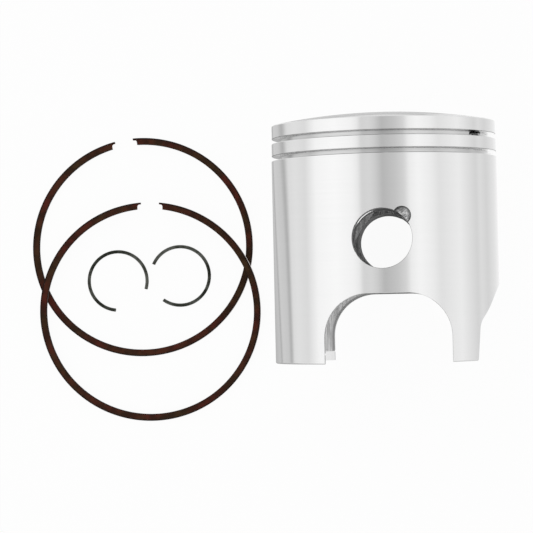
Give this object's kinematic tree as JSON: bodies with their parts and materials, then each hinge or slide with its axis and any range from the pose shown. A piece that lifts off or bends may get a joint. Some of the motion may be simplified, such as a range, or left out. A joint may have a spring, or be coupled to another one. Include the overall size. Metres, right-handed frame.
{
  "type": "piston",
  "caption": "Engine piston with a cut-away skirt, ring grooves and wrist-pin bore, laid on its side with its split rings and wire circlips taken off beside it.",
  "frame": {"origin": "centre of the wrist-pin bore, on the piston's axis", "axes": "+Z along the wrist-pin bore, up from the table; +Y along the piston's axis towards the crown; +X towards the cut-away side of the skirt; the table is at z = -34.97 mm"},
  "size_m": [0.1522, 0.0959, 0.07],
  "materials": {
    "machined_aluminium": "fine turned",
    "pin_steel": "ground",
    "phosphated_iron": "dark brown phosphate, lapped outer face",
    "spring_wire": "oiled black"
  },
  "bodies": {
    "piston": {"piston": "machined_aluminium", "upper_ring_pin": "pin_steel", "lower_ring_pin": "pin_steel"},
    "back_ring": {"back_ring": "phosphated_iron"},
    "front_ring": {"front_ring": "phosphated_iron"},
    "left_circlip": {"left_circlip": "spring_wire"},
    "right_circlip": {"right_circlip": "spring_wire"}
  },
  "joints": [
    {"name": "back_ring_lift", "type": "slide", "parent": "piston", "child": "back_ring", "axis": [0, 0, 1], "range_m": [0, 0.08]},
    {"name": "front_ring_lift", "type": "slide", "parent": "back_ring", "child": "front_ring", "axis": [0, 0, 1], "range_m": [0, 0.08]},
    {"name": "left_circlip_lift", "type": "slide", "parent": "piston", "child": "left_circlip", "axis": [0, 0, 1], "range_m": [0, 0.08]},
    {"name": "right_circlip_lift", "type": "slide", "parent": "piston", "child": "right_circlip", "axis": [0, 0, 1], "range_m": [0, 0.08]}
  ]
}
